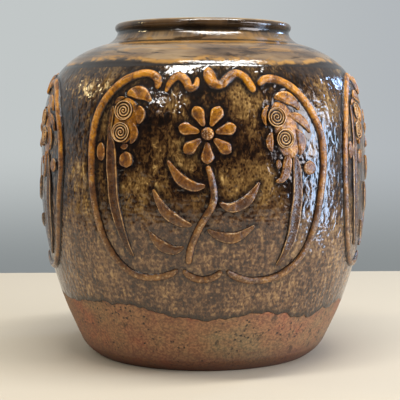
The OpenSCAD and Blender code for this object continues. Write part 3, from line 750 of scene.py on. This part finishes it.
def right_leaves(side):
    upper, lower = RIGHT_UPPER, below(side, RIGHT_UPPER, 8)
    return [(curled(side, upper, 122, 216, 0.34, 0.34), 0.52), (curled(side, lower, 154, 222, 0.5, 0.8), 0.85),
            (curled(side, upper, 90, 14, 0.8, 1.8), 1.3), (curled(side, lower, 80, 10, 1.2, 2), 0.95),
            (curled(side, lower, 34, -43, 0.55, 1.25), 1.15),
            ([[64, 16.5, 0.5], [64.5, 12, 1], [64, 8, 0.4]], 0.6),
            ([[74, 21, 0.5], [74, 14, 1], [72.5, 5, 1], [68, -1.5, 0.7], [62, -3.5, 0.25]], 1.05),
            ([[100, 15, 0.4], [99.5, 11, 0.9], [99, 6, 1], [98.5, 1.5, 0.4]], 1.55)]


def left_band(side):
    reach = (BUTTON_R + 1.0 + 0.2 * BAND_W) * TRIM_SCALE[side] / U_SCALE[side]
    u, v = below(side, LEFT_UPPER, -2)
    u -= reach
    return [[u + 1.8, v + 24, 0.15], [u + 1.2, v + 19.5, 0.35], [u + 0.6, v + 11, 0.4], [u, v + 1, 0.4],
            [u + 0.7, v - 5, 0.5], [u + 1.8, v - 10, 0.8], [-94, 20, 1.03], [-93.5, 6, 1.04], [-91.5, -20, 1],
            [-86.5, -41, 0.9], [-79, -63, 0.5], [-74, -72, 0.25]]


LEFT_BED = [[-79, 72, 0.4], [-79.5, 66, 0.85], [-80, 52, 1], [-81.5, 40, 0.95], [-81.5, 31, 0.5]]
RIGHT_BED = [[64, 68, 0.35], [67, 61, 0.8], [73, 48, 1], [76, 35, 1], [76, 25, 0.85], [74, 17, 0.4]]
BED_W, BED_H = 27.0, 1.3
RIGHT_BAND = [[82.4, 19.4, 0.35], [83.1, 14, 0.6], [84.3, 6, 0.85], [85.5, -12, 1], [84, -33, 1.1],
              [80.5, -55, 1], [73.5, -72, 0.6], [67, -81, 0.3]]

for side, side_name in enumerate(SIDES):
    scale = TRIM_SCALE[side]
    for piece_name, leaves, bed in (("left_leaves", left_leaves(side), LEFT_BED),
                                    ("right_leaves", right_leaves(side), RIGHT_BED)):
        bm = bmesh.new()
        outlines += lay_strip(bm, side, bed, BED_W * scale, BED_H, 0.0, 1.2, 22, 90, 0.35)
        for seed, (line, share) in enumerate(leaves):
            outlines += lay_strip(bm, side, line, share * LEAF_W * scale, LEAF_H, 0.4, 0.8, 16, seed + 10, 0.5)
        seat(f"clay_{side_name}_{piece_name}", bm, [AMBER], f"{side_name}_{piece_name}")
    for piece_name, line in (("left_band", left_band(side)), ("right_band", RIGHT_BAND)):
        bm = bmesh.new()
        outlines += lay_strip(bm, side, line, BAND_W * scale, BAND_H, 0.72, 1.2, 22, 30, 0.5)
        seat(f"clay_{side_name}_{piece_name}", bm, [AMBER], f"{side_name}_{piece_name}")
print("bands and leaves seated on", len(SIDES), "panels")

# %% [markdown]
# ## The flowering sprig
# A sprig stands in the middle of each panel: a bent stem, five leaves and one open flower round a domed seed head.
# Stem, leaves and petals are strips. The seed head is a spun disc again, with its relief pricked all over.

# %% Sprig
FLOWER, PETALS, PETAL_REACH, SEED_R, PETAL_GAP = (-2, 40), 7, 27.0, 6.0, 1.5
SPRIG_LEAVES = [
    [[-24, -62, 0.3], [-34, -65, 0.9], [-46, -60, 1], [-57, -48, 0.25]],
    [[-16, -42, 0.3], [-27, -39, 0.9], [-41, -29, 1], [-52, -10, 0.25]],
    [[-2, -46, 0.3], [10, -52, 0.9], [25, -53, 1], [42, -43, 0.25]],
    [[9, -22, 0.3], [20, -26, 0.9], [34, -20, 1], [46, -4, 0.25]],
    [[-4, -6, 0.3], [-14, -7, 0.9], [-27, 0, 1], [-38, 16, 0.25]]]


def pricked(share, angle):
    """A dome with small pricks in rings, for the seed head."""
    dome = math.sqrt(max(0.0, 1 - share ** 2.4)) * LEAF_H
    prick = 0.5 + 0.5 * math.cos(angle * round(1 + share * 9)) * math.cos(share * 12)
    return dome - 0.35 * prick * (share < 0.9), 0.35 + 0.55 * (1 - prick) * (share < 0.93)


def petal_line(side, angle):
    widest, foot = 0.78 * PETAL_REACH, SEED_R + PETAL_GAP
    shares = [(foot, 0.3), ((foot + widest) / 2, 0.65), (widest, 1), (PETAL_REACH, 0.45)]
    scale = TRIM_SCALE[side]
    return [[FLOWER[0] + d * scale * math.cos(angle) / U_SCALE[side],
             FLOWER[1] + d * scale * math.sin(angle) / V_SCALE, w] for d, w in shares]


for side, side_name in enumerate(SIDES):
    scale = TRIM_SCALE[side]
    foot = FLOWER[1] - (PETAL_REACH + PETAL_GAP) * scale / V_SCALE
    stem = [[-20, -78, 0.9], [-17, -62, 1], [-8, -42, 1], [3, -22, 1], [2, -2, 0.9], [FLOWER[0], foot, 0.7]]
    bm = bmesh.new()
    outlines += lay_strip(bm, side, stem, 7.5 * scale, LEAF_H, 0.1, seed=50)
    seat(f"clay_{side_name}_sprig_stem", bm, [AMBER], f"{side_name}_sprig_stem")
    bm = bmesh.new()
    for seed, line in enumerate(SPRIG_LEAVES):
        outlines += lay_strip(bm, side, line, 1.1 * LEAF_W * scale, LEAF_H, 0.3, 0.9, 16, seed + 60)
    seat(f"clay_{side_name}_sprig_leaves", bm, [AMBER], f"{side_name}_sprig_leaves")
    bm = bmesh.new()
    petal_w = 0.69 * 2 * math.pi * 0.78 * PETAL_REACH / PETALS
    for i in range(PETALS):
        line = petal_line(side, math.radians(90 + 360 * (i + 0.5) / PETALS))
        outlines += lay_strip(bm, side, line, petal_w * scale, LEAF_H, 0.3, 0.9, 16, i + 70)
    merge_into(bm, place_disc(side, FLOWER, SEED_R, pricked, 60, 16))
    seat(f"clay_{side_name}_sprig_flower", bm, [AMBER], f"{side_name}_sprig_flower")
print("sprigs", len(SIDES))

# %% [markdown]
# ## The turned body
# Every course of the body is a closed outline in the profile plane, spun once round the axis: the outside, the
# inside and the joints between. Doing it course by course keeps the pieces of the frame apart. After the spin each
# vertex of the outside is dented by the maker's hand, and gets its place on the rolled-out wall and its distance to
# the nearest ornament, for the glaze to read.

# %% Spin a course
STEPS = 420
near_ornament = kdtree.KDTree(len(outlines))
for index, point in enumerate(outlines):
    near_ornament.insert(point, index)
near_ornament.balance()

arc = [0.0]
for i in range(1, 3400):
    z = i / 10
    arc.append(arc[-1] + math.hypot(0.1, curve_r(min(z, COLLAR_Z)) - curve_r(min(z - 0.1, COLLAR_Z))))


def rows(low, high, pitch):
    count = max(1, round((high - low) / pitch))
    return [low + (high - low) * i / count for i in range(count + 1)]


def spin_course(name, outside, rest, outer_material, inner_material, node, steps=STEPS):
    """Spin one closed outline of (radius, height) in mm; rest is the inside and the joints."""
    bm = bmesh.new()
    clay = bm.verts.layers.float_vector.new("clay")
    relief = bm.verts.layers.float.new("relief")
    row = bm.verts.layers.int.new("row")
    outline = outside + rest
    loop = [bm.verts.new((r, 0, z)) for r, z in outline]
    for number, vert in enumerate(loop):
        vert[row] = number
    pairs = list(zip(loop, loop[1:]))
    if min(r for r, z in outline) > 0.001:
        pairs.append((loop[-1], loop[0]))
    edges = [bm.edges.new(pair) for pair in pairs]
    bmesh.ops.spin(bm, geom=loop + edges, axis=(0, 0, 1), cent=(0, 0, 0), dvec=(0, 0, 0),
                   angle=2 * math.pi, steps=steps, use_merge=True)
    bmesh.ops.remove_doubles(bm, verts=bm.verts, dist=0.001)
    for face in bm.faces:
        face.material_index = 0 if all(v[row] < len(outside) for v in face.verts) else 1
    for vert in bm.verts:
        radius, z = outline[vert[row]]
        turn = math.atan2(vert.co.x, -vert.co.y)
        vert[relief] = 1.0
        vert[clay] = Vector((BELLY_R * math.sin(turn), -BELLY_R * math.cos(turn), arc[min(int(z * 10), 3399)])) * MM
        if vert[row] < len(outside) and z < SHOULDER_Z + 0.01:
            radius -= dented(turn, z)
            vert.co = Vector((radius * math.sin(turn), -radius * math.cos(turn), z))
            near = near_ornament.find(vert.co * MM)[2]
            vert[relief] = min(1.0, near / MM / 12)
    bmesh.ops.scale(bm, vec=(MM, MM, MM), verts=bm.verts)
    return seat(name, bm, [outer_material, inner_material], node, 38)


def course(name, low, high, pitch, material, node):
    outside = [(curve_r(z), z) for z in rows(low, high, pitch)]
    inside = [inner_point(z) for z in reversed(rows(low, high, 4 * pitch))]
    return spin_course(name, outside, inside, material, WASH, node)


course("clay_lower_wall", GLAZE_Z, BELLY_Z, 2.5, BROWN, "lower_wall")
course("clay_upper_wall", BELLY_Z, TURN_IN_Z, 2.5, BROWN, "upper_wall")
course("clay_shoulder_wall", TURN_IN_Z, SHOULDER_Z, 1.2, BROWN, "shoulder_wall")
course("clay_shoulder_ring", SHOULDER_Z, COLLAR_Z, 0.9, TURNED, "shoulder_ring")
print("wall courses spun in", STEPS, "steps")

# %% [markdown]
# ## Foot and floor slab
# The foot is the bare end of the wall, luted to a thick disc with a cove of clay inside. Its outline is the wall's
# again, but its inside runs down into a quarter round.

# %% Foot and floor
foot_outside = [(curve_r(z), z) for z in rows(FLOOR_T, GLAZE_Z, 2)]
corner_r = inner_point(FLOOR_T)[0]
foot_inside = [inner_point(z) for z in reversed(rows(FLOOR_T, GLAZE_Z, 6)) if inner_point(z)[1] > FLOOR_T + COVE]
foot_inside += [(corner_r - COVE + COVE * math.sin(math.radians(a)), FLOOR_T + COVE - COVE * math.cos(math.radians(a)))
                for a in range(90, -1, -15)]
spin_course("clay_foot_wall", foot_outside, foot_inside, BROWN, WASH, "foot_wall")

slab_outside = [(0.0, 0.0)] + [(curve_r(z), z) for z in rows(0, FLOOR_T, 1.2)]
spin_course("clay_base_slab", slab_outside, [(0.0, FLOOR_T)], BARE, WASH, "base_slab")
print("foot and slab spun, corner radius", round(corner_r, 1))

# %% [markdown]
# ## Neck and lip
# The neck hollows up from the shoulder, and the lip is rolled outwards over it. Both are turned, so their outlines
# are short arcs: a quarter curve for the neck, most of a circle for the roll, and a small round towards the mouth.

# %% Neck and lip
NECK_FLARE, THROAT_RISE, LIP_ROLL, LIP_H, LIP_ROUND = 10.5, 0.3, 5.5, 9.5, 3.0
neck_outside = [(NECK_R + NECK_FLARE * (1 - t / 12) ** 2, COLLAR_Z + (LIP_Z - COLLAR_Z) * t / 12) for t in range(13)]
inner = inner_point(COLLAR_Z)
throat = (MOUTH_R, inner[1] + THROAT_RISE * (inner[0] - MOUTH_R))
spin_course("clay_neck_collar", neck_outside, [(MOUTH_R, LIP_Z), throat, inner], TURNED, WASH,
            "neck_collar")

crown_r = LIP_R - LIP_ROLL
start = -math.acos((NECK_R - crown_r) / LIP_ROLL)
roll = []
for i in range(23):
    angle = start + (math.pi / 2 - start) * i / 22
    roll.append((crown_r + LIP_ROLL * math.cos(angle), LIP_Z + LIP_H / 2 * (1 + math.sin(angle))))
roll += [(MOUTH_R + LIP_ROUND * (1 + math.cos(math.radians(a))),
          JAR_H - LIP_ROUND * (1 - math.sin(math.radians(a)))) for a in range(90, 181, 15)]
spin_course("clay_rolled_lip", [(NECK_R, LIP_Z)] + roll[1:], [(MOUTH_R, LIP_Z)], TURNED, WASH,
            "rolled_lip")
print("neck and lip spun")

# %% [markdown]
# ## Table and background
# The jar stands on a plain pale cloth-coloured table top whose far edge runs behind it. The background is the
# world itself: a plain grey wall behind the jar, which darkens a little towards the table as a painted shadow, and
# the dimmer room in front. Glaze is a mirror, so it needs both: it stays dark where it sees the room and turns pale
# where it sees the table. Only what the camera and the glossy surfaces see is coloured so: the light on the jar
# comes from soft lamps and an even white world.

# %% Table, world and lamps
bm = bmesh.new()
bmesh.ops.create_grid(bm, x_segments=1, y_segments=1, size=1)
TABLE_NEAR, TABLE_FAR, TABLE_HALF_W, TABLE_MIDDLE = -0.8, 0.54, 0.75, -0.15
bmesh.ops.scale(bm, vec=(TABLE_HALF_W, (TABLE_FAR - TABLE_NEAR) / 2, 1), verts=bm.verts)
bmesh.ops.translate(bm, vec=(TABLE_MIDDLE, (TABLE_FAR + TABLE_NEAR) / 2, 0), verts=bm.verts)
table_mesh = bpy.data.meshes.new("table_top")
bm.to_mesh(table_mesh)
bm.free()
table = bpy.data.objects.new("table_top", table_mesh)
bpy.context.scene.collection.objects.link(table)
cloth = Finish("pale_table")
grain = cloth.noise(cloth.place(), 900, 2)
cloth_colour = cloth.mix(cloth.fit(grain, 0.3, 0.7, 0.0, 0.5), "#c8bfad", "#c1b6a3")
table_mesh.materials.append(cloth.finish(cloth_colour, 0.8, grain, 0.0002, 0.4))

world = bpy.data.worlds.new("studio")
bpy.context.scene.world = world
world.use_nodes = True
nodes, links = world.node_tree.nodes, world.node_tree.links
nodes.clear()
output = nodes.new("ShaderNodeOutputWorld")
seen, even_light, chooser = (nodes.new(k) for k in ("ShaderNodeBackground", "ShaderNodeBackground",
                                                    "ShaderNodeMixShader"))
path = nodes.new("ShaderNodeLightPath")
either = nodes.new("ShaderNodeMath")
either.operation = "MAXIMUM"
links.new(path.outputs["Is Camera Ray"], either.inputs[0])
links.new(path.outputs["Is Glossy Ray"], either.inputs[1])
either_too = nodes.new("ShaderNodeMath")
either_too.operation = "MAXIMUM"
links.new(either.outputs[0], either_too.inputs[0])
links.new(path.outputs["Is Transmission Ray"], either_too.inputs[1])
direction = nodes.new("ShaderNodeTexCoord")
split = nodes.new("ShaderNodeSeparateXYZ")
links.new(direction.outputs["Generated"], split.inputs["Vector"])


def shaded(axis, low, high, below, above):
    """A colour that goes from one paint to another as the direction turns along an axis."""
    turning = nodes.new("ShaderNodeMapRange")
    turning.interpolation_type = "SMOOTHSTEP"
    turning.inputs["From Min"].default_value = low
    turning.inputs["From Max"].default_value = high
    links.new(split.outputs[axis], turning.inputs["Value"])
    blend = nodes.new("ShaderNodeMix")
    blend.data_type = "RGBA"
    links.new(turning.outputs["Result"], blend.inputs["Factor"])
    for paint, socket in ((below, blend.inputs[6]), (above, blend.inputs[7])):
        if isinstance(paint, str):
            socket.default_value = linear(paint)
        else:
            links.new(paint, socket)
    return blend.outputs[2]


far_wall = shaded("X", -0.05, 0.25, "#c2c7c7", "#b2b7bb")
# painted shadow: the backdrop wall darkens towards the table
wall_colour = shaded("Z", -0.147, -0.03, "#8a8f90", far_wall)
room_colour = shaded("Z", 0.1, 0.9, "#3c3832", "#8a8170")
links.new(shaded("Y", -0.15, 0.3, room_colour, wall_colour), seen.inputs["Color"])
even_light.inputs["Color"].default_value = (1, 1, 1, 1)
even_light.inputs["Strength"].default_value = 0.58
links.new(either_too.outputs[0], chooser.inputs[0])
links.new(even_light.outputs[0], chooser.inputs[1])
links.new(seen.outputs[0], chooser.inputs[2])
links.new(chooser.outputs[0], output.inputs["Surface"])


def lamp(name, place, aim, size, power, tint):
    """A soft rectangular lamp at a place, turned to face a point."""
    light = bpy.data.lights.new(name, "AREA")
    light.shape = "RECTANGLE"
    light.size, light.size_y = size
    light.energy = power
    light.color = tint
    made = bpy.data.objects.new(name, light)
    made.location = place
    made.rotation_euler = (Vector(aim) - Vector(place)).to_track_quat("-Z", "Y").to_euler()
    bpy.context.scene.collection.objects.link(made)
    return made


lamp("lamp_overhead", (0.1, -0.28, 1.7), (0, 0, 0.25), (1.3, 0.16), 24, (1, 0.98, 0.94))
lamp("lamp_window", (2.0, -0.25, 0.15), (0, 0, 0.2), (0.5, 1.3), 28, (0.55, 0.73, 1))
lamp("lamp_sky", (1.75, -0.85, 0.7), (0, 0, 0.2), (0.9, 0.9), 19, (1, 0.93, 0.94))
lamp("lamp_glint", (1.6, 1.2, 1.0), (0, 0, 0.25), (0.3, 0.3), 7, (0.4, 0.6, 1))
lamp("lamp_gold", (-1.6, 0.12, 1.1), (0, 0, 0.2), (0.09, 0.09), 3, (1, 0.78, 0.4))
lamp("lamp_front", (-1.1, -1.7, 1.35), (0, 0, 0.2), (0.1, 0.1), 4, (1, 0.98, 0.95))

# %% [markdown]
# ## The camera
# The photograph was taken from a little over a metre, slightly above the belly and a touch left of the front
# panel's middle. The camera stands at that spot and looks down a few degrees. The numbers come from measuring how
# the rim, the belly and the foot line up in perspective.

# %% Camera
CAMERA_DISTANCE, CAMERA_HEIGHT, CAMERA_TURN, CAMERA_PITCH, CAMERA_YAW = 1.150, 0.248, -2.05, -4.6, 0.156
FOCAL_PIXELS, PICTURE_PIXELS, SENSOR = 1100, 400, 36.0
turn = math.radians(CAMERA_TURN)
camera_data = bpy.data.cameras.new("camera")
camera_data.sensor_width = SENSOR
camera_data.lens = SENSOR * FOCAL_PIXELS / PICTURE_PIXELS
camera = bpy.data.objects.new("camera", camera_data)
camera.location = (CAMERA_DISTANCE * math.sin(turn), -CAMERA_DISTANCE * math.cos(turn), CAMERA_HEIGHT)
heading = math.atan2(-camera.location.y, -camera.location.x) + math.radians(CAMERA_YAW)
pitch = math.radians(CAMERA_PITCH)
look = Vector((math.cos(heading) * math.cos(pitch), math.sin(heading) * math.cos(pitch), math.sin(pitch)))
camera.rotation_euler = look.to_track_quat("-Z", "Y").to_euler()
bpy.context.scene.collection.objects.link(camera)
bpy.context.scene.camera = camera
bpy.context.scene.view_settings.view_transform = "Standard"
print("lens", round(camera_data.lens, 1), "mm")
